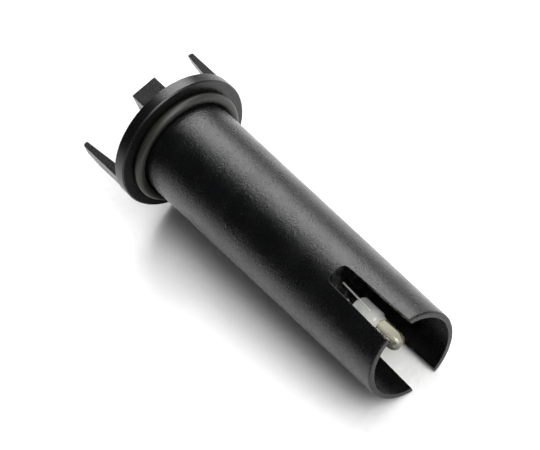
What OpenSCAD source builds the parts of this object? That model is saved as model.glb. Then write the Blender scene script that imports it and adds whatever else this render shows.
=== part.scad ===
// Replaceable glass electrode module of a pocket water quality tester.
// The long axis is X. The back face of the flange, which seats in the tester, is x = 0.
// The open slotted mouth points to +X, and the locating key and the upper slot face +Z.

/* [Guard tube] */
// Length from the flange's front face to the mouth
tube_len = 62.1; // [50:0.1:80]
// Outer diameter at the flange end
tube_d = 17.7; // [16.8:0.1:19]
// Outer diameter at the mouth, smaller by the moulding draft
mouth_d = 17.4; // [16.4:0.1:18.8]
// Inner diameter at the mouth
mouth_bore_d = 15.3; // [14:0.1:15.9]
// Depth of the open mouth, up to the bulkhead
mouth_depth = 18.4; // [17:0.1:24]
// Rounding of the outer edge of the mouth
lip_round = 0.35; // [0.1:0.05:0.5]
// Thickness of the bulkhead between the mouth and the electrolyte chamber
bulkhead_t = 3.4; // [2.6:0.1:5]
// Inner diameter of the electrolyte chamber
chamber_d = 14.4; // [13.2:0.1:15]

/* [Slots] */
// Width of each slot at the mouth
slot_mouth_w = 4.9; // [4.4:0.1:6.5]
// Width of each slot at its closed end
slot_end_w = 3.9; // [3.2:0.1:4.3]
// Length of each slot
slot_len = 16.6; // [12:0.1:16.8]
// Corner radius of the closed end
slot_corner = 1.35; // [0.6:0.05:1.5]

/* [Flange head] */
// Diameter of the flange
flange_d = 25.2; // [23.4:0.1:30]
// Thickness of the flange
flange_t = 2.15; // [1.6:0.05:3.5]
// Chamfer of the flange's front edge
flange_chamfer = 0.22; // [0.1:0.02:0.4]
// Length of the spigot that plugs into the chamber
spigot_len = 6; // [4:0.1:9]
// Wall of the spigot
spigot_wall = 1.0; // [0.7:0.05:1.4]
// Outer diameter of the collar round the contacts
collar_d = 18; // [17.2:0.1:19]
// Height of the collar behind the flange
collar_h = 1.6; // [1.1:0.1:2.2]
// Wall of the collar
collar_wall = 1.2; // [0.8:0.1:1.4]

/* [Key and prongs] */
// Width of the locating key
key_w = 4.9; // [3:0.1:6]
// Length of the locating key behind the flange
key_len = 3.3; // [2:0.1:5]
// Radial depth of the locating key
key_depth = 4.1; // [2:0.1:4.4]
// Step of the key and the prongs below the rim, so that the rim guides alone
rim_step = 0.2; // [0.1:0.05:0.5]
// Depth of the flat on each prong's outer side, within that step
prong_flat = 0.2; // [0.1:0.05:1]
// Length of each side prong behind the flange
prong_len = 10.2; // [6:0.1:14]
// Radial thickness of a prong at its tip
prong_tip_t = 0.9; // [0.7:0.05:1.2]
// Radial thickness of a prong at its root
prong_root_t = 1.8; // [1.3:0.1:3]
// Width of a prong at its tip
prong_tip_w = 2.4; // [1.6:0.1:3]
// Width of a prong at its root
prong_root_w = 6.0; // [4:0.1:7]
// Height of a prong's straight upper side above the axis
prong_top = 1.3; // [0.8:0.1:2]
// Chamfer of a prong's tip
prong_chamfer = 0.3; // [0.1:0.05:0.5]

/* [Seal ring] */
// Section diameter of the seal ring
ring_section = 1.78; // [1.4:0.01:2.2]

/* [Glass electrode] */
// Outer diameter of the glass stem
stem_d = 4.1; // [3.6:0.05:5]
// Wall of the glass stem
stem_wall = 0.55; // [0.4:0.05:0.7]
// Outer diameter of the sensing bulb
bulb_d = 3.24; // [2.8:0.02:3.5]
// Wall of the sensing bulb
bulb_wall = 0.35; // [0.2:0.05:0.5]
// Distance of the bulb's tip behind the mouth
tip_recess = 2.8; // [1.5:0.1:4]
// Length of the bulb from the shoulder to its tip
bulb_len = 5.8; // [5:0.1:8]
// Length of the buffer gel in the stem, behind the shoulder
gel_len = 6.3; // [3:0.1:7]
// Depth of the hollow at the back of the gel
meniscus_depth = 0.75; // [0.3:0.05:1.2]
// Depth of the wire's tip in the gel
wire_dip = 1.2; // [0.8:0.1:1.4]
// Length of the wire's bare tip, past its silver chloride coat
bare_len = 2.2; // [1.5:0.1:3]
// Length of the stem's plug
stem_plug_len = 4; // [3:0.1:6]

/* [Reference electrode] */
// Diameter of both silver wires
wire_d = 0.5; // [0.4:0.05:0.7]
// Diameter of the silver chloride coat on both wires
coat_d = 0.8; // [0.75:0.05:1.1]
// Length of each silver chloride coat
coat_len = 7; // [4:0.5:10]
// Distance of the reference wire above the axis
ref_offset = 4.2; // [3.6:0.1:4.6]
// Depth of the reference wire in the electrolyte
ref_depth = 16; // [11:0.5:20]
// Diameter of the ceramic junction pin
junction_d = 1.3; // [0.8:0.1:1.6]
// Distance of the junction pin below the axis
junction_offset = 5.2; // [5:0.1:5.8]

/* [Seals] */
// Thickness of the rear seal
rear_seal_t = 2.5; // [1.5:0.1:4]
// Outer diameter of the front grommet's flange
grommet_d = 8.2; // [7:0.1:8.4]
// Thickness of the front grommet's flange
grommet_t = 2; // [1.2:0.1:3]
// Outer diameter of the front grommet's neck
grommet_neck_d = 5.8; // [5.2:0.1:6.4]
// Length of the front grommet's neck
grommet_neck_len = 2.2; // [1.4:0.1:2.4]

/* [Contacts] */
// Thickness of the contact board
board_t = 1.0; // [0.8:0.1:1.6]
// Number of contact pins
pin_count = 3; // [2:1:4]
// Spacing of the contact pins
pin_pitch = 2.54; // [2:0.01:2.6]
// Side of the square contact pins
pin_side = 0.64; // [0.5:0.02:0.7]
// Length of the contact pins outside the header
pin_len = 3.4; // [2:0.1:3.8]
// Height of the pin header's body
header_h = 1.8; // [1.2:0.1:2]
// Width of the pin header's body
header_w = 2.5; // [2:0.1:3]
// Diameter of the solder joints
solder_d = 1.2; // [0.9:0.1:1.5]
// Height of the solder joints
solder_h = 0.4; // [0.2:0.1:0.8]

/* [Hidden] */
$fn = 96;
// Clearance between pieces that slide together
fit = 0.05;
// Margin by which a cut runs past the face that it opens
past = 1;

tube_r = tube_d / 2;
mouth_r = mouth_d / 2;
mouth_bore_r = mouth_bore_d / 2;
chamber_r = chamber_d / 2;
flange_r = flange_d / 2;
collar_r = collar_d / 2;
stem_r = stem_d / 2;
bulb_r = bulb_d / 2;
wire_r = wire_d / 2;
coat_r = coat_d / 2;
junction_r = junction_d / 2;

// Stations along the axis, from the flange's front face to the mouth
flange_x = flange_t;
mouth_x = flange_x + tube_len;
bulkhead_front = mouth_x - mouth_depth;
bulkhead_back = bulkhead_front - bulkhead_t;
spigot_x = flange_x + spigot_len;
seal_back = spigot_x + fit;
seal_front = seal_back + rear_seal_t;
grommet_back = bulkhead_back - grommet_t;
ref_end = seal_front + ref_depth;

// The glass electrode hangs from its tip: the shoulder, the gel and the wire follow it
tip_x = mouth_x - tip_recess;
shoulder_x = tip_x - bulb_len;
shoulder_len = stem_r - bulb_r;
stem_front = shoulder_x - shoulder_len;
stem_back = flange_x + spigot_len / 2;
stem_bore_r = stem_r - stem_wall;
bulb_bore_r = bulb_r - bulb_wall;
gel_back = shoulder_x - gel_len;
wire_tip = gel_back + wire_dip;
coat_end = wire_tip - bare_len;
// Radius of the ball that hollows the back of the gel
meniscus_r = (pow(stem_bore_r, 2) + pow(meniscus_depth, 2)) / 2 / meniscus_depth;

// The key and the prongs keep inside one circle, a step below the rim
guide_r = flange_r - rim_step;
key_face = sqrt(pow(guide_r, 2) - pow(key_w / 2, 2));
prong_face = guide_r - prong_flat;

// The spigot and the contacts behind it
spigot_r = chamber_r - fit;
spigot_bore_r = spigot_r - spigot_wall;
board_r = collar_r - collar_wall - fit;
header_back = -board_t - header_h;
pin_row = [for (i = [0 : pin_count - 1]) (i - (pin_count - 1) / 2) * pin_pitch];
pin_hole = pin_side + fit * 2;

// Turns a shape made along +Z so that it runs along +X from x
module along_x(x = 0) {
    translate([x, 0, 0]) rotate([0, 90, 0]) children();
}

// Round bar or round hole along X between two stations, straight or tapered
module bar(x0, x1, r0, r1 = undef) {
    along_x(x0) cylinder(h = x1 - x0, r1 = r0, r2 = is_undef(r1) ? r0 : r1);
}

// Last stretch of a bar of radius r that ends at x1 with its edge rounded by e
module round_end(x1, r, e) {
    along_x(x1 - e) intersection() {
        union() {
            rotate_extrude() translate([r - e, 0]) circle(r = e, $fn = 48);
            cylinder(h = e, r = r - e);
        }
        cylinder(h = e, r = r);
    }
}

// Bar along X that ends at x1 in a half ball
module thimble(x0, x1, r) {
    bar(x0, x1 - r, r);
    translate([x1 - r, 0, 0]) sphere(r = r);
}

// Body turned about X from an outline of [radius, x] points
module turned(outline) {
    rotate([0, 90, 0]) rotate_extrude() polygon(outline);
}

// Outline of one slot, seen from above, with its closed end at x = 0 and its corners rounded
module slot_outline() {
    grow = (slot_mouth_w - slot_end_w) / 2 / slot_len;
    core_w = slot_end_w / 2 - slot_corner;
    translate([slot_corner, -core_w]) circle(r = slot_corner);
    translate([slot_corner, core_w]) circle(r = slot_corner);
    translate([0, -core_w]) square([slot_corner * 2, core_w * 2]);
    polygon([
        [slot_corner, -slot_end_w / 2],
        [slot_len + past, -slot_mouth_w / 2 - grow * past],
        [slot_len + past, slot_mouth_w / 2 + grow * past],
        [slot_corner, slot_end_w / 2]]);
}

// Both slots in one cutter, through the upper and the lower wall
module slots() {
    translate([mouth_x - slot_len, 0, -tube_r - past])
        linear_extrude(height = tube_d + past * 2)
            slot_outline();
}

module guard_tube() color("#1d1e20") difference() {
    union() {
        bar(flange_x, mouth_x - lip_round, tube_r, mouth_r);
        round_end(mouth_x, mouth_r, lip_round);
    }
    bar(flange_x - past, bulkhead_back, chamber_r);
    bar(bulkhead_front, mouth_x + past, mouth_bore_r);
    bar(bulkhead_back - past, bulkhead_front + past, stem_r + fit);
    bar(bulkhead_back - past, bulkhead_back + grommet_neck_len + fit, grommet_neck_d / 2 + fit);
    translate([0, 0, -junction_offset])
        bar(bulkhead_back - past, bulkhead_front + past, junction_r + fit);
    slots();
}

// Locating key: a block with a flat outer face, whose corners keep inside the guide circle
module locating_key() {
    translate([-key_len, -key_w / 2, key_face - key_depth])
        cube([key_len + flange_t / 2, key_w, key_depth]);
}

// Side prong on +Y: its outer face is flat and square to Y down to the guide circle, its
// upper side is straight, and its inner face and its lower side slope in towards the tip
module side_prong() {
    root = flange_t / 2;
    lower = prong_top - prong_root_w;
    intersection() {
        translate([0, 0, lower]) linear_extrude(height = prong_root_w)
            polygon([
                [root, prong_face],
                [-prong_len + prong_chamfer, prong_face],
                [-prong_len, prong_face - prong_chamfer],
                [-prong_len, prong_face - prong_tip_t],
                [0, prong_face - prong_root_t],
                [root, prong_face - prong_root_t]]);
        bar(-prong_len - past, flange_t, guide_r);
        rotate([90, 0, 0]) translate([0, 0, -flange_r]) linear_extrude(height = flange_r)
            polygon([
                [root, prong_top],
                [-prong_len, prong_top],
                [-prong_len, prong_top - prong_tip_w],
                [0, lower],
                [root, lower]]);
    }
}

module flange_head() color("#141516") {
    turned([
        [spigot_bore_r, 0],
        [flange_r, 0],
        [flange_r, flange_x - flange_chamfer],
        [flange_r - flange_chamfer, flange_x],
        [spigot_r, flange_x],
        [spigot_r, spigot_x - flange_chamfer],
        [spigot_r - flange_chamfer, spigot_x],
        [spigot_bore_r, spigot_x]]);
    difference() {
        union() {
            bar(-collar_h, 0, collar_r);
            locating_key();
        }
        bar(-collar_h - key_len, 0, collar_r - collar_wall);
    }
    side_prong();
    mirror([0, 1, 0]) side_prong();
}

module seal_ring() color("#26261f") {
    ring_r = tube_r + fit + ring_section / 2;
    along_x(flange_x + ring_section / 2 + fit)
        rotate_extrude() translate([ring_r, 0]) circle(d = ring_section, $fn = 48);
}

// Glass tube with a rounded shoulder that steps down to the bulb
module glass_stem() color("#d8dcdc") difference() {
    union() {
        bar(stem_back, stem_front, stem_r);
        round_end(shoulder_x, stem_r, shoulder_len);
    }
    bar(stem_back - past, stem_front, stem_bore_r);
    bar(stem_front - past, shoulder_x + past, bulb_bore_r);
}

module sensing_bulb() color("#d9d7b4") difference() {
    thimble(shoulder_x, tip_x, bulb_r);
    thimble(shoulder_x - past, tip_x - bulb_wall, bulb_bore_r);
}

module bulb_fill() color("#e6e4c8") {
    thimble(stem_front, tip_x - bulb_wall - fit, bulb_bore_r - fit);
}

// Gel in the stem, with a hollow meniscus at its back and the tip of the wire in it
module buffer_gel() color("#e4e6e6") difference() {
    bar(gel_back, stem_front - fit, stem_bore_r - fit);
    translate([gel_back + meniscus_depth - meniscus_r, 0, 0]) sphere(r = meniscus_r);
    bar(gel_back - past, wire_tip + fit, wire_r + fit);
}

module silver_wire() color("#b9bbbd") {
    bar(solder_h, coat_end - coat_len, wire_r);
}

module chloride_tip() color("#4b4a48") {
    bar(coat_end - coat_len, coat_end, coat_r);
    bar(coat_end, wire_tip, wire_r);
}

module stem_plug() color("#c9c4b8") difference() {
    bar(stem_back, stem_back + stem_plug_len, stem_bore_r - fit);
    bar(stem_back - past, stem_back + stem_plug_len + past, wire_r + fit);
}

module front_grommet() color("#2c2b2a") difference() {
    union() {
        bar(grommet_back, bulkhead_back, grommet_d / 2);
        bar(bulkhead_back, bulkhead_back + grommet_neck_len, grommet_neck_d / 2);
    }
    bar(grommet_back - past, bulkhead_front, stem_r + fit);
}

module rear_seal() color("#35322f") difference() {
    bar(seal_back, seal_front, chamber_r - fit);
    bar(seal_back - past, seal_front + past, stem_r + fit);
    translate([0, 0, ref_offset]) bar(seal_back - past, seal_front + past, wire_r + fit);
}

// Electrolyte gel: fills the chamber round the stem, the grommet, the wire and the junction pin
module reference_gel() color("#cfd8dc") difference() {
    bar(seal_front + fit, bulkhead_back - fit, chamber_r - fit);
    bar(seal_front, bulkhead_back, stem_r + fit);
    bar(grommet_back - fit, bulkhead_back, grommet_d / 2 + fit);
    translate([0, 0, ref_offset]) bar(seal_front, ref_end + fit, coat_r + fit);
    translate([0, 0, -junction_offset]) bar(grommet_back - fit, bulkhead_back, junction_r + fit);
}

module reference_wire() color("#b9bbbd") translate([0, 0, ref_offset]) {
    bar(solder_h, ref_end - coat_len, wire_r);
}

module reference_chloride() color("#4b4a48") translate([0, 0, ref_offset]) {
    bar(ref_end - coat_len, ref_end, coat_r);
}

module junction_pin() color("#e9e6df") translate([0, 0, -junction_offset]) {
    bar(grommet_back, bulkhead_front, junction_r);
}

// Places its children at each solder joint: one for each pin and one for the reference wire
module at_joints() {
    for (y = pin_row) translate([0, y, 0]) children();
    translate([0, 0, ref_offset]) children();
}

// Epoxy that fills the head round the end of the stem, both wires and the solder joints
module potting() color("#0f1012") difference() {
    bar(0, spigot_x, spigot_bore_r - fit);
    bar(stem_back - fit, spigot_x + past, stem_r + fit);
    bar(-past, spigot_x, wire_r + fit);
    translate([0, 0, ref_offset]) bar(-past, spigot_x + past, wire_r + fit);
    at_joints() bar(-past, solder_h + fit, solder_d / 2 + fit);
}

// Square holes for the contact pins, through everything from x0 to x1
module pin_holes(x0, x1) {
    for (y = pin_row)
        translate([x0, y - pin_hole / 2, -pin_hole / 2])
            cube([x1 - x0, pin_hole, pin_hole]);
}

module contact_board() color("#1f5a35") difference() {
    bar(-board_t, -fit, board_r);
    pin_holes(-board_t - past, past);
}

module pin_header() color("#18191a") difference() {
    translate([header_back, -pin_count * pin_pitch / 2, -header_w / 2])
        cube([header_h - fit, pin_count * pin_pitch, header_w]);
    pin_holes(header_back - past, past);
}

module contact_pins() color("#c9a545") {
    for (y = pin_row)
        translate([header_back - pin_len, y - pin_side / 2, -pin_side / 2])
            cube([pin_len - header_back, pin_side, pin_side]);
}

module solder_joints() color("#a9abad") {
    at_joints() bar(0, solder_h, solder_d / 2);
}

guard_tube();
flange_head();
seal_ring();
glass_stem();
sensing_bulb();
buffer_gel();
bulb_fill();
silver_wire();
chloride_tip();
stem_plug();
front_grommet();
reference_gel();
reference_wire();
reference_chloride();
junction_pin();
rear_seal();
potting();
contact_board();
pin_header();
contact_pins();
solder_joints();
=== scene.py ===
"""Looks of the glass electrode module of a pocket water tester.

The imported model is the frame: millimetres in the part's source are metres here, x runs from the
back of the flange to the open mouth, and z points to the locating key and the upper slot.
"""

import logging
import math
from dataclasses import dataclass
from enum import Enum
from typing import Sequence

import bpy
import numpy as np
from mathutils import Matrix, Vector


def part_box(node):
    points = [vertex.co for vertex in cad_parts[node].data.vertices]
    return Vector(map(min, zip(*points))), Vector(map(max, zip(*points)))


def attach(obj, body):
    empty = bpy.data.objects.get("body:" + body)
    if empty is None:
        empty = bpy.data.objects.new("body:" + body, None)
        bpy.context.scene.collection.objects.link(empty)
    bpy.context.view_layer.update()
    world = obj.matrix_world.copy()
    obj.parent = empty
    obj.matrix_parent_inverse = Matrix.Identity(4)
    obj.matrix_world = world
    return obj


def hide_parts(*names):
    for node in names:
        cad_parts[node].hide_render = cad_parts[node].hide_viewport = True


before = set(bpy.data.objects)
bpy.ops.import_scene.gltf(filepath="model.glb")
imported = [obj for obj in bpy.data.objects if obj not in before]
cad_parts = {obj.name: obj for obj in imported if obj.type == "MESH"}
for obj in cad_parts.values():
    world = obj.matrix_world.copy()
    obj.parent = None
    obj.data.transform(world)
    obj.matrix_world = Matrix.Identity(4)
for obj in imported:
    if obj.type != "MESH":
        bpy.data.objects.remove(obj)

MM = 0.001
log = logging.getLogger("probe")

Colour = tuple[float, float, float]
Place = tuple[float, float, float]
Value = float | bpy.types.NodeSocket

# A Mix node's sockets for colours, by their place, because their names repeat.
MIX_SHARE, MIX_FIRST, MIX_SECOND, MIX_RESULT = 0, 6, 7, 2

# Grain: detail and roughness of its two noises, and the slow one's cells per cell of the fine one.
FINE_DETAIL, FINE_ROUGHNESS = 2.0, 0.65
SLOW_DETAIL, SLOW_ROUGHNESS = 1.0, 0.5
SLOW_CELLS = 0.06

# Dust: cells per metre, radius of a speck in cells, its roughness and its colours.
DUST_CELLS = 2600.0
SPECK_RADIUS = 0.16
SPECK_ROUGHNESS = 0.8
PALE_DUST: Colour = (0.4, 0.4, 0.4)
DARK_DUST: Colour = (0.12, 0.12, 0.12)

BEVEL_SAMPLES = 6


class Zone(Enum):
    """Place of each glass in the electrode shell's list of materials."""

    STEM = 0
    BULB = 1


# ---------------------------------------------------------------- node helpers


def feed(tree: bpy.types.NodeTree, value: Value | Colour, socket: bpy.types.NodeSocket) -> None:
    """Gives an input socket its value.

    Args:
        tree: the node tree.
        value: a socket to link from, a number or a colour.
        socket: the input socket.
    """
    if isinstance(value, bpy.types.NodeSocket):
        tree.links.new(value, socket)
    elif isinstance(value, tuple):
        socket.default_value = (*value, 1.0)
    else:
        socket.default_value = value


def math_node(tree: bpy.types.NodeTree, operation: str, first: Value, second: Value,
              clamp: bool = False) -> bpy.types.NodeSocket:
    """Adds a Math node.

    Args:
        tree: the node tree.
        operation: Blender's name of the operation.
        first: a socket or a number.
        second: a socket or a number.
        clamp: whether the result is kept between 0 and 1.

    Returns:
        The node's output socket.
    """
    node = tree.nodes.new("ShaderNodeMath")
    node.operation = operation
    node.use_clamp = clamp
    feed(tree, first, node.inputs[0])
    feed(tree, second, node.inputs[1])
    return node.outputs[0]


def mix_colours(tree: bpy.types.NodeTree, share: bpy.types.NodeSocket,
                first: bpy.types.NodeSocket | Colour, second: Colour) -> bpy.types.NodeSocket:
    """Adds a Mix node for colours.

    Args:
        tree: the node tree.
        share: the second colour's share, from 0 to 1.
        first: the colour where the share is 0.
        second: the colour where the share is 1.

    Returns:
        The mixed colour's socket.
    """
    node = tree.nodes.new("ShaderNodeMix")
    node.data_type = "RGBA"
    feed(tree, share, node.inputs[MIX_SHARE])
    feed(tree, first, node.inputs[MIX_FIRST])
    feed(tree, second, node.inputs[MIX_SECOND])
    return node.outputs[MIX_RESULT]


def mix_shaders(tree: bpy.types.NodeTree, share: bpy.types.NodeSocket,
                first: bpy.types.NodeSocket, second: bpy.types.NodeSocket) -> None:
    """Mixes two shaders into the surface of a material.

    Args:
        tree: the material's tree.
        share: the second shader's share, from 0 to 1.
        first: the shader where the share is 0.
        second: the shader where the share is 1.
    """
    mix = tree.nodes.new("ShaderNodeMixShader")
    for source, socket in zip((share, first, second), mix.inputs):
        feed(tree, source, socket)
    feed(tree, mix.outputs[0], tree.nodes["Material Output"].inputs["Surface"])


def noise(tree: bpy.types.NodeTree, where: bpy.types.NodeSocket, cells: Value, detail: float,
          roughness: float) -> bpy.types.NodeSocket:
    """Adds a Noise Texture.

    Args:
        tree: the node tree.
        where: the coordinates' socket.
        cells: cells per metre, as a socket or a number.
        detail: number of finer layers.
        roughness: weight of the finer layers.

    Returns:
        The socket of its value, about 0.5 on average.
    """
    node = tree.nodes.new("ShaderNodeTexNoise")
    feed(tree, where, node.inputs["Vector"])
    feed(tree, cells, node.inputs["Scale"])
    feed(tree, detail, node.inputs["Detail"])
    feed(tree, roughness, node.inputs["Roughness"])
    return node.outputs["Fac"]


def add_bump(tree: bpy.types.NodeTree, shader: bpy.types.Node, height: bpy.types.NodeSocket,
             depth: float) -> bpy.types.Node:
    """Adds a Bump node and links it to a shader.

    Args:
        tree: the material's tree.
        shader: the shader that gets the normal.
        height: socket of the height, from 0 to 1.
        depth: the height's depth in metres.

    Returns:
        The Bump node.
    """
    bump = tree.nodes.new("ShaderNodeBump")
    feed(tree, height, bump.inputs["Height"])
    feed(tree, depth, bump.inputs["Distance"])
    feed(tree, bump.outputs["Normal"], shader.inputs["Normal"])
    return bump


def scaled(colour: Colour, share: float) -> Colour:
    """Makes a colour darker or lighter by a factor."""
    return tuple(channel * share for channel in colour)


# ---------------------------------------------------------------- node groups


def new_group(name: str, inputs: Sequence[str], outputs: Sequence[str]) -> bpy.types.NodeTree:
    """Makes an empty shader node group with a vector input and named values.

    Args:
        name: name of the group.
        inputs: name of each value that goes in.
        outputs: name of each value that comes out.

    Returns:
        The group's node tree, with its "Group Input" and "Group Output" nodes.
    """
    tree = bpy.data.node_groups.new(name, "ShaderNodeTree")
    tree.interface.new_socket("Vector", in_out="INPUT", socket_type="NodeSocketVector")
    for label in inputs:
        tree.interface.new_socket(label, in_out="INPUT", socket_type="NodeSocketFloat")
    for label in outputs:
        tree.interface.new_socket(label, in_out="OUTPUT", socket_type="NodeSocketFloat")
    tree.nodes.new("NodeGroupInput").name = "Group Input"
    tree.nodes.new("NodeGroupOutput").name = "Group Output"
    return tree


def moulded_grain() -> bpy.types.NodeTree:
    """Group: the grain of a moulded surface, as a height and as a change of roughness.

    Two noises are used: a fine one for the spark-eroded texture of the mould, and a slow one for
    its drift over the surface. Height is the fine noise. Tone is the sum of both, less 1, times
    Spread, so that it changes the roughness both ways.

    Returns:
        The group, with inputs Cells, Spread and outputs Height, Tone.
    """
    tree = new_group("moulded_grain", ("Cells", "Spread"), ("Height", "Tone"))
    given, put = tree.nodes["Group Input"].outputs, tree.nodes["Group Output"].inputs
    fine = noise(tree, given["Vector"], given["Cells"], FINE_DETAIL, FINE_ROUGHNESS)
    slow = noise(tree, given["Vector"], math_node(tree, "MULTIPLY", given["Cells"], SLOW_CELLS),
                 SLOW_DETAIL, SLOW_ROUGHNESS)
    both = math_node(tree, "SUBTRACT", math_node(tree, "ADD", fine, slow), 1.0)
    feed(tree, fine, put["Height"])
    feed(tree, math_node(tree, "MULTIPLY", both, given["Spread"]), put["Tone"])
    return tree


def fine_dust() -> bpy.types.NodeTree:
    """Group: sparse specks of dust, as a mask that is 1 on a speck.

    A speck is the middle of a Voronoi cell, and only the share Amount of the cells has one.

    Returns:
        The group, with inputs Cells, Amount and output Mask.
    """
    tree = new_group("fine_dust", ("Cells", "Amount"), ("Mask",))
    given, put = tree.nodes["Group Input"].outputs, tree.nodes["Group Output"].inputs
    cells = tree.nodes.new("ShaderNodeTexVoronoi")
    feed(tree, given["Vector"], cells.inputs["Vector"])
    feed(tree, given["Cells"], cells.inputs["Scale"])
    inner = math_node(tree, "LESS_THAN", cells.outputs["Distance"], SPECK_RADIUS)
    chance = tree.nodes.new("ShaderNodeSeparateColor")
    feed(tree, cells.outputs["Color"], chance.inputs["Color"])
    few = math_node(tree, "LESS_THAN", chance.outputs["Red"], given["Amount"])
    feed(tree, math_node(tree, "MULTIPLY", inner, few), put["Mask"])
    return tree


# ---------------------------------------------------------------- finishes


def new_material(name: str) -> tuple[bpy.types.Material, bpy.types.NodeTree, bpy.types.Node,
                                     bpy.types.NodeSocket]:
    """Makes a material with its Principled shader and its Object coordinates.

    Args:
        name: name of the material.

    Returns:
        The material, its tree, its Principled node and the Object coordinates' socket.
    """
    material = bpy.data.materials.new(name)
    material.use_nodes = True
    tree = material.node_tree
    where = tree.nodes.new("ShaderNodeTexCoord").outputs["Object"]
    return material, tree, tree.nodes["Principled BSDF"], where


class Workshop:
    """Holds the node groups that the materials share, and places them."""

    def __init__(self) -> None:
        """Builds the shared groups once."""
        self.grain = moulded_grain()
        self.dust = fine_dust()

    def place(self, group: bpy.types.NodeTree, tree: bpy.types.NodeTree,
              where: bpy.types.NodeSocket, **values: float
              ) -> bpy.types.bpy_prop_collection:
        """Places a shared group in a material.

        Args:
            group: the shared group.
            tree: the material's tree.
            where: the coordinates' socket.
            values: a value for each named input.

        Returns:
            The group node's output sockets, by their names.
        """
        node = tree.nodes.new("ShaderNodeGroup")
        node.node_tree = group
        feed(tree, where, node.inputs["Vector"])
        for label, value in values.items():
            feed(tree, value, node.inputs[label])
        return node.outputs


@dataclass(frozen=True)
class MouldedFinish:
    """An opaque moulded, cast or coated surface with grain, uneven gloss and a little dust."""

    name: str
    colour: Colour
    roughness: float
    cells: float
    grain_depth: float
    gloss_spread: float = 0.1
    colour_spread: float = 0.15
    dust: float = 0.0
    dust_colour: Colour = PALE_DUST
    metallic: float = 0.0
    specular: float = 0.5
    ior: float = 1.5
    coat: float = 0.0
    coat_roughness: float = 0.1
    edge_radius: float = 0.0

    def build(self, shop: Workshop) -> bpy.types.Material:
        """Builds the material.

        Args:
            shop: the workshop that holds the shared groups.

        Returns:
            The material.
        """
        material, tree, shader, where = new_material(f"{self.name}_finish")
        grain = shop.place(shop.grain, tree, where, Cells=self.cells, Spread=self.gloss_spread)
        specks = shop.place(shop.dust, tree, where, Cells=DUST_CELLS, Amount=self.dust)["Mask"]
        clean = mix_colours(tree, grain["Height"], scaled(self.colour, 1 - self.colour_spread),
                            scaled(self.colour, 1 + self.colour_spread))
        rough = math_node(tree, "ADD", grain["Tone"], self.roughness, clamp=True)
        dull = math_node(tree, "MULTIPLY", specks, SPECK_ROUGHNESS)
        for label, value in (("Base Color", mix_colours(tree, specks, clean, self.dust_colour)),
                             ("Roughness", math_node(tree, "MAXIMUM", rough, dull)),
                             ("Metallic", self.metallic),
                             ("IOR", self.ior),
                             ("Specular IOR Level", self.specular),
                             ("Coat Weight", self.coat),
                             ("Coat Roughness", self.coat_roughness)):
            feed(tree, value, shader.inputs[label])
        bump = add_bump(tree, shader, grain["Height"], self.grain_depth)
        if self.edge_radius > 0:
            bevel = tree.nodes.new("ShaderNodeBevel")
            bevel.samples = BEVEL_SAMPLES
            feed(tree, self.edge_radius, bevel.inputs["Radius"])
            feed(tree, bevel.outputs["Normal"], bump.inputs["Normal"])
        return material


@dataclass(frozen=True)
class ClearFinish:
    """Glass, gel or liquid that light passes through."""

    name: str
    tint: Colour
    ior: float
    roughness: float = 0.0
    clearness: float = 1.0
    haze_spread: float = 0.0
    tint_spread: float = 0.03
    cells: float = 600.0
    passed: float = 0.95

    def build(self, shop: Workshop) -> bpy.types.Material:
        """Builds the material.

        Args:
            shop: the workshop that holds the shared groups.

        Returns:
            The material.
        """
        material, tree, shader, where = new_material(f"{self.name}_finish")
        grain = shop.place(shop.grain, tree, where, Cells=self.cells, Spread=self.haze_spread)
        tone = mix_colours(tree, grain["Height"], scaled(self.tint, 1 - self.tint_spread),
                           self.tint)
        rough = math_node(tree, "ADD", grain["Tone"], self.roughness, clamp=True)
        for label, value in (("Base Color", tone),
                             ("Roughness", rough),
                             ("IOR", self.ior),
                             ("Transmission Weight", self.clearness)):
            feed(tree, value, shader.inputs[label])
        self.let_light_through(tree, shader)
        return material

    def let_light_through(self, tree: bpy.types.NodeTree, shader: bpy.types.Node) -> None:
        """Lets lamps shine through, tinted, as clear glass and liquid do.

        Args:
            tree: the material's tree.
            shader: its Principled node.
        """
        clear = tree.nodes.new("ShaderNodeBsdfTransparent")
        feed(tree, scaled(self.tint, self.passed), clear.inputs["Color"])
        shadow = tree.nodes.new("ShaderNodeLightPath").outputs["Is Shadow Ray"]
        mix_shaders(tree, shadow, shader.outputs[0], clear.outputs[0])


# ---------------------------------------------------------------- surfaces


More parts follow.
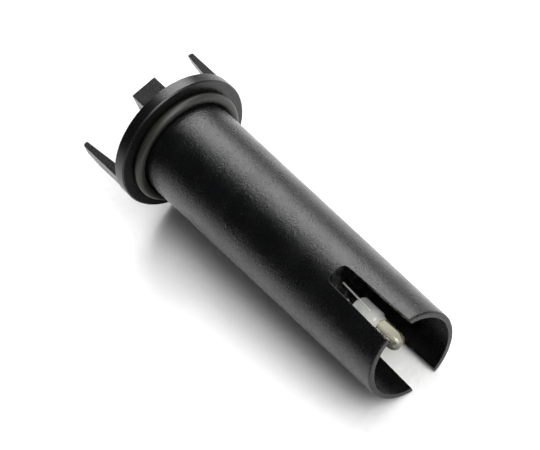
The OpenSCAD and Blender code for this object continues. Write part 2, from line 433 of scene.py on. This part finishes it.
def turned_piece(name: str, outline: np.ndarray, around: int,
                 materials: Sequence[bpy.types.Material], zones: np.ndarray | None = None,
                 middles: np.ndarray | None = None) -> bpy.types.Object:
    """Turns an open outline of (x, radius) points about the x axis into a closed body.

    Point (u, v) is (x_u, a_u + r_u cos v, b_u + r_u sin v), with v in equal steps round the middle
    (a_u, b_u), which is the axis where no middles are given. The first and the last point become
    poles, whatever their radius, so that the body is closed.

    Args:
        name: name of the object.
        outline: array (n, 2) of x and radius in metres, from pole to pole, going from the front
            of the body over its outside to its back.
        around: number of steps round the axis.
        materials: the materials of the faces.
        zones: index of the material of each stretch of the outline, or None for the first one.
        middles: array (n, 2) of y and z of the body's middle at each point, or None for the axis.

    Returns:
        The object, smooth shaded, linked to the scene.
    """
    if middles is None:
        middles = np.zeros_like(outline)
    angle = np.linspace(0.0, 2 * math.pi, around, endpoint=False)
    rows, inner = outline[1:-1], middles[1:-1]
    x = np.repeat(rows[:, :1], around, axis=1)
    y = inner[:, :1] + rows[:, 1:] * np.cos(angle)
    z = inner[:, 1:] + rows[:, 1:] * np.sin(angle)
    body = np.stack([x, y, z], axis=-1).reshape(-1, 3)
    poles = np.array([[outline[0, 0], *middles[0]], [outline[-1, 0], *middles[-1]]])
    here = np.arange(len(body)).reshape(len(rows), around)
    beside = np.roll(here, -1, axis=1)
    ahead, behind = np.full(around, len(body)), np.full(around, len(body) + 1)
    front = np.stack([ahead, here[0], beside[0]], axis=-1)
    side = np.stack([here[:-1], here[1:], beside[1:], beside[:-1]], axis=-1).reshape(-1, 4)
    back = np.stack([behind, beside[-1], here[-1]], axis=-1)
    mesh = bpy.data.meshes.new(name)
    mesh.from_pydata(np.concatenate([body, poles]).tolist(), [],
                     front.tolist() + side.tolist() + back.tolist())
    for material in materials:
        mesh.materials.append(material)
    mesh.polygons.foreach_set("use_smooth", np.ones(len(mesh.polygons), dtype=bool))
    if zones is not None:
        mesh.polygons.foreach_set("material_index", np.repeat(zones, around).astype(np.int32))
    mesh.update()
    piece = bpy.data.objects.new(name, mesh)
    bpy.context.scene.collection.objects.link(piece)
    return piece


def arc(middle_x: float, radius: float, start: float, end: float, steps: int) -> np.ndarray:
    """Points of an arc in the (x, radius) plane: middle_x + radius cos a, radius sin a.

    Args:
        middle_x: station of the arc's middle, which is on the axis.
        radius: radius of the arc.
        start: first angle in degrees.
        end: last angle in degrees.
        steps: number of points.

    Returns:
        Array (steps, 2).
    """
    angle = np.radians(np.linspace(start, end, steps))
    return np.stack([middle_x + radius * np.cos(angle), radius * np.sin(angle)], axis=-1)


def smooth(t: np.ndarray) -> np.ndarray:
    """Smooth rise from 0 to 1: t * t * (3 - 2 t), with t kept between 0 and 1."""
    t = np.clip(t, 0.0, 1.0)
    return t * t * (3 - 2 * t)


# ---------------------------------------------------------------- sub-assemblies


@dataclass
class SubAssembly:
    """A group of pieces of the probe that are dressed together."""

    shop: Workshop

    def dress(self, node: str, material: bpy.types.Material) -> None:
        """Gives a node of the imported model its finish.

        Args:
            node: name of the node.
            material: its material.
        """
        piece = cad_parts[node]
        piece.data.materials.clear()
        piece.data.materials.append(material)
        log.info("dressed %s with %s", node, material.name)

    def stand_for(self, piece: bpy.types.Object, slot: str, *nodes: str) -> None:
        """Puts a new piece in the place of one or more nodes.

        Args:
            piece: the new piece.
            slot: the record's material slot of the piece; not used.
            nodes: the nodes that it stands for.
        """
        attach(piece, "root")
        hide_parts(*nodes)
        log.info("built %s for %s: %d faces", piece.name, ", ".join(nodes),
                 len(piece.data.polygons))


@dataclass
class Housing(SubAssembly):
    """Guard tube, flange head and seal ring."""

    guard: MouldedFinish = MouldedFinish(
        "guard_plastic", colour=(0.0024, 0.0026, 0.0029), roughness=0.25, cells=3500.0,
        grain_depth=0.08 * MM, gloss_spread=0.3, dust=0.004, dust_colour=DARK_DUST,
        specular=0.38, edge_radius=0.18 * MM)
    head: MouldedFinish = MouldedFinish(
        "head_plastic", colour=(0.0032, 0.0033, 0.0035), roughness=0.3, cells=3800.0,
        grain_depth=0.03 * MM, gloss_spread=0.2, dust=0.003, dust_colour=DARK_DUST,
        specular=0.4, edge_radius=0.12 * MM)
    ring: MouldedFinish = MouldedFinish(
        "ring_rubber", colour=(0.014, 0.0138, 0.011), roughness=0.42, cells=3000.0,
        grain_depth=0.006 * MM, gloss_spread=0.12, dust=0.01, specular=0.4)

    def build(self) -> None:
        """Dresses the housing's pieces."""
        self.dress("guard_tube", self.guard.build(self.shop))
        self.dress("flange_head", self.head.build(self.shop))
        self.dress("seal_ring", self.ring.build(self.shop))


@dataclass
class Electrode(SubAssembly):
    """Glass stem and bulb with their gel and liquid, the wires and the stem's seals."""

    # Glass, gel and liquid: the bulb's wall, the neck's length, the depth of the gel's hollow back,
    # how much shorter the gel is than its node, how far past the neck it reaches, the source's
    # clearance between nodes, and how far clear bodies overlap.
    skin: float = 0.16 * MM
    neck: float = 0.5 * MM
    meniscus: float = 0.75 * MM
    shrinkage: float = 0.8 * MM
    reach: float = 0.7 * MM
    clearance: float = 0.05 * MM
    overlap: float = 0.015 * MM

    # Inner wire: its tip behind the shoulder, its bend from in front of the plug to behind the
    # bulkhead's face, its middle's distance from the bore, and its place round the axis, in degrees
    # from y to z, at the bend's front and at the tip.
    wire_r: float = 0.14 * MM
    wire_recess: float = 1.65 * MM
    bend_lead: float = 4.85 * MM
    bend_recess: float = 0.35 * MM
    wire_gap: float = 0.06 * MM
    wire_turn: tuple[float, float] = (55.0, 72.0)

    around: int = 160
    ball_steps: int = 30
    neck_steps: int = 18
    hollow_steps: int = 24
    wire_around: int = 24
    wire_steps: int = 90

    stem_glass: ClearFinish = ClearFinish("stem_glass", tint=(0.98, 0.985, 0.98), ior=1.5)
    bulb_glass: ClearFinish = ClearFinish("bulb_glass", tint=(0.99, 0.985, 0.95), ior=1.5)
    gel: ClearFinish = ClearFinish(
        "buffer_gel", tint=(0.98, 0.985, 0.98), ior=1.25, roughness=0.1, clearness=0.55,
        haze_spread=0.1)
    liquid: ClearFinish = ClearFinish(
        "bulb_liquid", tint=(0.99, 0.98, 0.86), ior=1.31, clearness=0.96)
    silver: MouldedFinish = MouldedFinish(
        "silver", colour=(0.92, 0.92, 0.9), roughness=0.4, cells=2600.0,
        grain_depth=0.004 * MM, gloss_spread=0.15, metallic=0.25)
    silicone: MouldedFinish = MouldedFinish(
        "plug_silicone", colour=(0.5, 0.47, 0.41), roughness=0.5, cells=2200.0,
        grain_depth=0.01 * MM)
    rubber: MouldedFinish = MouldedFinish(
        "grommet_rubber", colour=(0.02, 0.019, 0.018), roughness=0.55, cells=3200.0,
        grain_depth=0.01 * MM, gloss_spread=0.12)
    electrolyte: ClearFinish = ClearFinish(
        "reference_gel", tint=(0.86, 0.9, 0.91), ior=1.36, roughness=0.25, clearness=0.6,
        haze_spread=0.1)
    chloride: MouldedFinish = MouldedFinish(
        "silver_chloride", colour=(0.05, 0.045, 0.045), roughness=0.6, cells=5200.0,
        grain_depth=0.02 * MM, gloss_spread=0.15)
    ceramic: MouldedFinish = MouldedFinish(
        "junction_ceramic", colour=(0.74, 0.71, 0.65), roughness=0.75, cells=5000.0,
        grain_depth=0.03 * MM)

    def measure(self) -> None:
        """Takes the electrode's stations and radii from the frame."""
        stem_low, stem_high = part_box("glass_stem")
        bulb_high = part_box("sensing_bulb")[1]
        gel_low, gel_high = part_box("buffer_gel")
        self.stem_back, self.shoulder_x, self.stem_r = stem_low[0], stem_high[0], stem_high[2]
        self.bulb_r = bulb_high[2]
        self.ball_x = bulb_high[0] - self.bulb_r
        self.bulb_bore_r = self.bulb_r - self.skin
        self.stem_bore_r = gel_high[2] + self.clearance
        self.split_x = gel_high[0] + self.clearance
        self.gel_back = gel_low[0] + self.shrinkage
        self.gel_front = self.split_x + self.reach
        self.wire_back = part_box("silver_wire")[0][0]
        self.wire_front = self.shoulder_x - self.wire_recess
        self.bend_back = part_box("stem_plug")[1][0] + self.bend_lead
        self.bend_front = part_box("junction_pin")[1][0] - self.bend_recess

    def wall(self, start: float, end: float, middle: float, front: float, back: float
             ) -> np.ndarray:
        """Outline points of a wall that narrows smoothly from the stem to the bulb.

        The radius at x is back + (front - back) * s, where s rises smoothly from 0 to 1 over the
        neck's length round its middle. The points stand close together there.

        Args:
            start: first station.
            end: last station, which may be behind the first one.
            middle: station of the neck's middle.
            front: radius in front of the neck.
            back: radius behind it.

        Returns:
            Array (n, 2) of x and radius.
        """
        neck = np.linspace(middle - self.neck / 2, middle + self.neck / 2, self.neck_steps)
        x = np.array([start, *neck, end])
        x = np.unique(x[(x >= min(start, end)) & (x <= max(start, end))])
        if start > end:
            x = x[::-1]
        radius = back + (front - back) * smooth((x - middle) / self.neck + 0.5)
        return np.stack([x, radius], axis=-1)

    def bore(self, start: float, end: float, grow: float = 0.0) -> np.ndarray:
        """Outline points of the glass's bore.

        Args:
            start: first station.
            end: last station.
            grow: what is added to the radius.

        Returns:
            Array (n, 2) of x and radius.
        """
        wall = self.wall(start, end, self.split_x, self.bulb_bore_r, self.stem_bore_r)
        return wall + (0.0, grow)

    def build_glass(self) -> bpy.types.Object:
        """Glass of the stem and the bulb, fused into one shell that ends in a ball.

        The outline runs from the tip's outside over the bulb and the stem to the stem's back, and
        through the bore to the tip's inside. Stretches in front of the shoulder are of bulb glass.

        Returns:
            The shell.
        """
        ball = arc(self.ball_x, self.bulb_r, 0, 90, self.ball_steps)
        outside = self.wall(self.ball_x, self.stem_back, self.shoulder_x - self.neck / 2,
                            self.bulb_r, self.stem_r)
        inside = self.bore(self.stem_back, self.ball_x)
        hollow = arc(self.ball_x, self.bulb_bore_r, 90, 0, self.ball_steps)
        outline = np.concatenate([ball[:-1], outside, inside[:-1], hollow])
        stretch = (outline[:-1, 0] + outline[1:, 0]) / 2
        zones = np.where(stretch > self.shoulder_x, Zone.BULB.value, Zone.STEM.value)
        return turned_piece("electrode_glass", outline, self.around,
                            [self.stem_glass.build(self.shop), self.bulb_glass.build(self.shop)],
                            zones)

    def build_gel(self) -> bpy.types.Object:
        """Gel in the stem. It wets the bore, and a ball of air hollows its back.

        The ball's radius is (b * b + m * m) / (2 m), with b the bore's radius and m the hollow's
        depth.

        Returns:
            The gel.
        """
        radius = (self.stem_bore_r ** 2 + self.meniscus ** 2) / 2 / self.meniscus
        centre = self.gel_back + self.meniscus - radius
        half = math.degrees(math.asin(self.stem_bore_r / radius))
        front = self.gel_front + self.overlap
        side = self.bore(front, self.gel_back, self.overlap)
        hollow = arc(centre, radius, half, 0, self.hollow_steps)
        outline = np.concatenate([[[front, 0.0]], side, hollow])
        return turned_piece("gel_column", outline, self.around, [self.gel.build(self.shop)])

    def build_liquid(self) -> bpy.types.Object:
        """Liquid that fills the bulb's ball and its bore up to the gel.

        Returns:
            The liquid.
        """
        ball = arc(self.ball_x, self.bulb_bore_r + self.overlap, 0, 90, self.ball_steps)
        side = self.bore(self.ball_x, self.gel_front, self.overlap)
        outline = np.concatenate([ball[:-1], side, [[self.gel_front, 0.0]]])
        return turned_piece("bulb_liquid", outline, self.around, [self.liquid.build(self.shop)])

    def build_wire(self, silver: bpy.types.Material) -> bpy.types.Object:
        """Inner silver wire, which bends away from the axis and leans on the stem's bore.

        Its middle stands off the axis by d * s, where d reaches to the bore and s rises smoothly
        from 0 to 1 over the bend. From the bend to the tip it turns a little round the axis. The
        first and the last point repeat their neighbours' places, which makes the ends flat.

        Args:
            silver: the wire's material.

        Returns:
            The wire.
        """
        station = np.linspace(self.wire_front, self.wire_back, self.wire_steps)
        bend = (station - self.bend_back) / (self.bend_front - self.bend_back)
        away = (self.stem_bore_r - self.wire_gap) * smooth(bend)
        turn = np.radians(np.interp(station, (self.bend_front, self.wire_front), self.wire_turn))
        middles = np.stack([away * np.cos(turn), away * np.sin(turn)], axis=-1)
        outline = np.stack([station, np.full_like(station, self.wire_r)], axis=-1)
        for points in (outline, middles):
            points[0], points[-1] = points[1], points[-2]
        return turned_piece("inner_wire", outline, self.wire_around, [silver], middles=middles)

    def build(self) -> None:
        """Builds the glass, gel, liquid and inner wire, and dresses the other pieces."""
        self.measure()
        silver, rubber = self.silver.build(self.shop), self.rubber.build(self.shop)
        self.stand_for(self.build_glass(), "stem_glass", "glass_stem", "sensing_bulb")
        self.stand_for(self.build_gel(), "buffer_gel", "buffer_gel")
        self.stand_for(self.build_liquid(), "bulb_fill", "bulb_fill")
        self.stand_for(self.build_wire(silver), "silver", "silver_wire", "chloride_tip")
        self.dress("stem_plug", self.silicone.build(self.shop))
        self.dress("front_grommet", rubber)
        self.dress("reference_gel", self.electrolyte.build(self.shop))
        self.dress("reference_wire", silver)
        self.dress("reference_chloride", self.chloride.build(self.shop))
        self.dress("junction_pin", self.ceramic.build(self.shop))
        self.dress("rear_seal", rubber)


@dataclass
class Contacts(SubAssembly):
    """Epoxy, contact board, header, pins and solder joints behind the flange."""

    epoxy: MouldedFinish = MouldedFinish(
        "epoxy", colour=(0.01, 0.01, 0.012), roughness=0.15, cells=300.0,
        grain_depth=0.03 * MM)
    board: MouldedFinish = MouldedFinish(
        "board", colour=(0.012, 0.09, 0.04), roughness=0.3, cells=2500.0,
        grain_depth=0.006 * MM, coat=0.4)
    header: MouldedFinish = MouldedFinish(
        "header_plastic", colour=(0.012, 0.012, 0.013), roughness=0.42, cells=4200.0,
        grain_depth=0.01 * MM, edge_radius=0.08 * MM)
    gold: MouldedFinish = MouldedFinish(
        "gold_plate", colour=(0.83, 0.6, 0.24), roughness=0.22, cells=3000.0,
        grain_depth=0.004 * MM, metallic=1.0, edge_radius=0.05 * MM)
    solder: MouldedFinish = MouldedFinish(
        "solder", colour=(0.62, 0.63, 0.64), roughness=0.25, cells=1500.0,
        grain_depth=0.02 * MM, gloss_spread=0.15, metallic=1.0)

    def build(self) -> None:
        """Dresses the pieces of the contacts."""
        self.dress("potting", self.epoxy.build(self.shop))
        self.dress("contact_board", self.board.build(self.shop))
        self.dress("pin_header", self.header.build(self.shop))
        self.dress("contact_pins", self.gold.build(self.shop))
        self.dress("solder_joints", self.solder.build(self.shop))


# ---------------------------------------------------------------- studio


def sky_direction(azimuth: float, elevation: float) -> Vector:
    """Unit vector towards a place of the sky: (cos e cos a, cos e sin a, sin e).

    Args:
        azimuth: degrees from x to y.
        elevation: degrees above the xy plane.

    Returns:
        The vector.
    """
    turn, rise = math.radians(azimuth), math.radians(elevation)
    return Vector((math.cos(rise) * math.cos(turn), math.cos(rise) * math.sin(turn),
                   math.sin(rise)))


@dataclass(frozen=True)
class Softbox:
    """A soft lamp that faces the part from a place of the sky."""

    name: str
    azimuth: float
    elevation: float
    radiance: float
    width: float = 0.9
    height: float = 0.9
    distance: float = 1.5

    def place(self, target: Vector) -> None:
        """Places the lamp, facing the target.

        Its power is pi times its area times its radiance.

        Args:
            target: the point that it faces.
        """
        lamp = bpy.data.lights.new(self.name, "AREA")
        lamp.shape = "RECTANGLE"
        lamp.size, lamp.size_y = self.width, self.height
        lamp.energy = math.pi * self.width * self.height * self.radiance
        light = bpy.data.objects.new(self.name, lamp)
        direction = sky_direction(self.azimuth, self.elevation)
        light.location = target + direction * self.distance
        light.rotation_euler = direction.to_track_quat("Z", "Y").to_euler()
        bpy.context.scene.collection.objects.link(light)


@dataclass
class Studio:
    """Floor, softboxes, world and camera, placed in the frame of the part."""

    # The part lies on the rim's lowest point, behind the rim's chamfer, and on the mouth.
    tilt_deg: float = 3.92
    rim_chamfer: float = 0.22 * MM
    floor_gap: float = 0.01 * MM
    floor_half: float = 4.0
    floor_colour: Colour = (0.96, 0.96, 0.96)
    floor_roughness: float = 0.9
    floor_specular: float = 0.1
    floor_cells: float = 800.0
    floor_detail: float = 2.0
    floor_grain: float = 0.5
    floor_relief: float = 0.1 * MM

    # The floor turns plain white between these distances from this point, for these rays.
    white_middle: Place = (30.0 * MM, 0.0, -10.0 * MM)
    white_from: float = 70.0 * MM
    white_to: float = 120.0 * MM
    white_strength: float = 1.0
    white_rays: tuple[str, ...] = ("Is Camera Ray", "Is Glossy Ray", "Is Transmission Ray")

    lit_point: Place = (30.0 * MM, 0.0, 0.0)
    boxes: tuple[Softbox, ...] = (
        Softbox("key_softbox", azimuth=131.0, elevation=31.5, radiance=7.4),
        Softbox("upper_softbox", azimuth=148.0, elevation=48.5, radiance=12.0, width=0.25,
                height=0.25),
        Softbox("top_softbox", azimuth=100.0, elevation=68.0, radiance=2.7),
        Softbox("fill_softbox", azimuth=30.0, elevation=60.0, radiance=2.4),
        Softbox("front_softbox", azimuth=20.0, elevation=45.0, radiance=6.6),
        Softbox("low_softbox", azimuth=10.0, elevation=20.0, radiance=3.4, height=0.6),
        Softbox("side_softbox", azimuth=85.0, elevation=45.0, radiance=1.7),
        Softbox("left_softbox", azimuth=270.0, elevation=40.0, radiance=0.45))
    world_strength: float = 0.02

    # The photograph's view: the camera looks at its aim from its place in the sky, and is rolled
    # round its line of sight.
    camera_aim: Place = (26.36 * MM, -0.1 * MM, 0.0)
    camera_azimuth: float = -15.97
    camera_elevation: float = 54.07
    camera_roll: float = -27.52
    camera_distance: float = 1.0617
    lens_mm: float = 427.3
    sensor_mm: float = 36.0
    clip_end: float = 20.0

    def floor(self) -> None:
        """Builds the floor, a square plane that rises towards the mouth by the tilt."""
        tilt = math.radians(self.tilt_deg)
        along = Vector((math.cos(tilt), 0.0, math.sin(tilt))) * self.floor_half
        side = Vector((0.0, self.floor_half, 0.0))
        centre = Vector((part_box("guard_tube")[0][0] - self.rim_chamfer, 0.0,
                         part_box("flange_head")[0][2] - self.floor_gap))
        corners = [centre - along - side, centre + along - side,
                   centre + along + side, centre - along + side]
        mesh = bpy.data.meshes.new("floor")
        mesh.from_pydata(corners, [], [(0, 1, 2, 3)])
        mesh.materials.append(self.floor_finish())
        piece = bpy.data.objects.new("floor", mesh)
        bpy.context.scene.collection.objects.link(piece)

    def floor_finish(self) -> bpy.types.Material:
        """Matt white sheet with a faint mottle, that turns plain white far from the part.

        The plain white is only seen: by the camera, in glossy pieces and through clear ones. To
        all other light the sheet is the same everywhere.

        Returns:
            The material.
        """
        material, tree, shader, where = new_material("floor_white")
        for label, value in (("Base Color", self.floor_colour),
                             ("Roughness", self.floor_roughness),
                             ("Specular IOR Level", self.floor_specular)):
            feed(tree, value, shader.inputs[label])
        mottle = noise(tree, where, self.floor_cells, self.floor_detail, self.floor_grain)
        add_bump(tree, shader, mottle, self.floor_relief)
        away = tree.nodes.new("ShaderNodeVectorMath")
        away.operation = "DISTANCE"
        feed(tree, where, away.inputs[0])
        away.inputs[1].default_value = self.white_middle
        far = tree.nodes.new("ShaderNodeMapRange")
        far.interpolation_type = "SMOOTHSTEP"
        feed(tree, away.outputs["Value"], far.inputs["Value"])
        feed(tree, self.white_from, far.inputs["From Min"])
        feed(tree, self.white_to, far.inputs["From Max"])
        path = tree.nodes.new("ShaderNodeLightPath").outputs
        seen: Value = 0.0
        for ray in self.white_rays:
            seen = math_node(tree, "ADD", seen, path[ray], clamp=True)
        white = tree.nodes.new("ShaderNodeEmission")
        feed(tree, self.white_strength, white.inputs["Strength"])
        mix_shaders(tree, math_node(tree, "MULTIPLY", far.outputs["Result"], seen),
                    shader.outputs[0], white.outputs[0])
        return material

    def world(self) -> None:
        """Gives the room a dim even light."""
        world = bpy.data.worlds.new("room")
        world.use_nodes = True
        background = world.node_tree.nodes["Background"]
        feed(world.node_tree, (1.0, 1.0, 1.0), background.inputs["Color"])
        feed(world.node_tree, self.world_strength, background.inputs["Strength"])
        bpy.context.scene.world = world

    def camera(self) -> None:
        """Places the camera at the photograph's angle.

        Its right side is cos q times the level direction across the line of sight, plus sin q
        times the direction square to both, with q the roll.
        """
        lens = bpy.data.cameras.new("camera")
        lens.sensor_fit = "HORIZONTAL"
        lens.sensor_width, lens.lens = self.sensor_mm, self.lens_mm
        lens.clip_end = self.clip_end
        camera = bpy.data.objects.new("camera", lens)
        back = sky_direction(self.camera_azimuth, self.camera_elevation)
        level = Vector((0.0, 0.0, 1.0)).cross(back).normalized()
        roll = math.radians(self.camera_roll)
        right = level * math.cos(roll) + back.cross(level) * math.sin(roll)
        turn = Matrix((right, back.cross(right), back)).transposed().to_4x4()
        place = Vector(self.camera_aim) + back * self.camera_distance
        camera.matrix_world = Matrix.Translation(place) @ turn
        bpy.context.scene.collection.objects.link(camera)
        bpy.context.scene.camera = camera

    def build(self) -> None:
        """Builds the whole studio."""
        self.floor()
        for box in self.boxes:
            box.place(Vector(self.lit_point))
        self.world()
        self.camera()
        bpy.context.scene.view_settings.view_transform = "Standard"


def main() -> None:
    """Builds the probe and its studio."""
    logging.basicConfig(level=logging.INFO, format="%(name)s: %(message)s")
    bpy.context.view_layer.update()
    shop = Workshop()
    Studio().build()
    for assembly in (Housing(shop), Electrode(shop), Contacts(shop)):
        assembly.build()


if __name__ == "__main__":
    main()
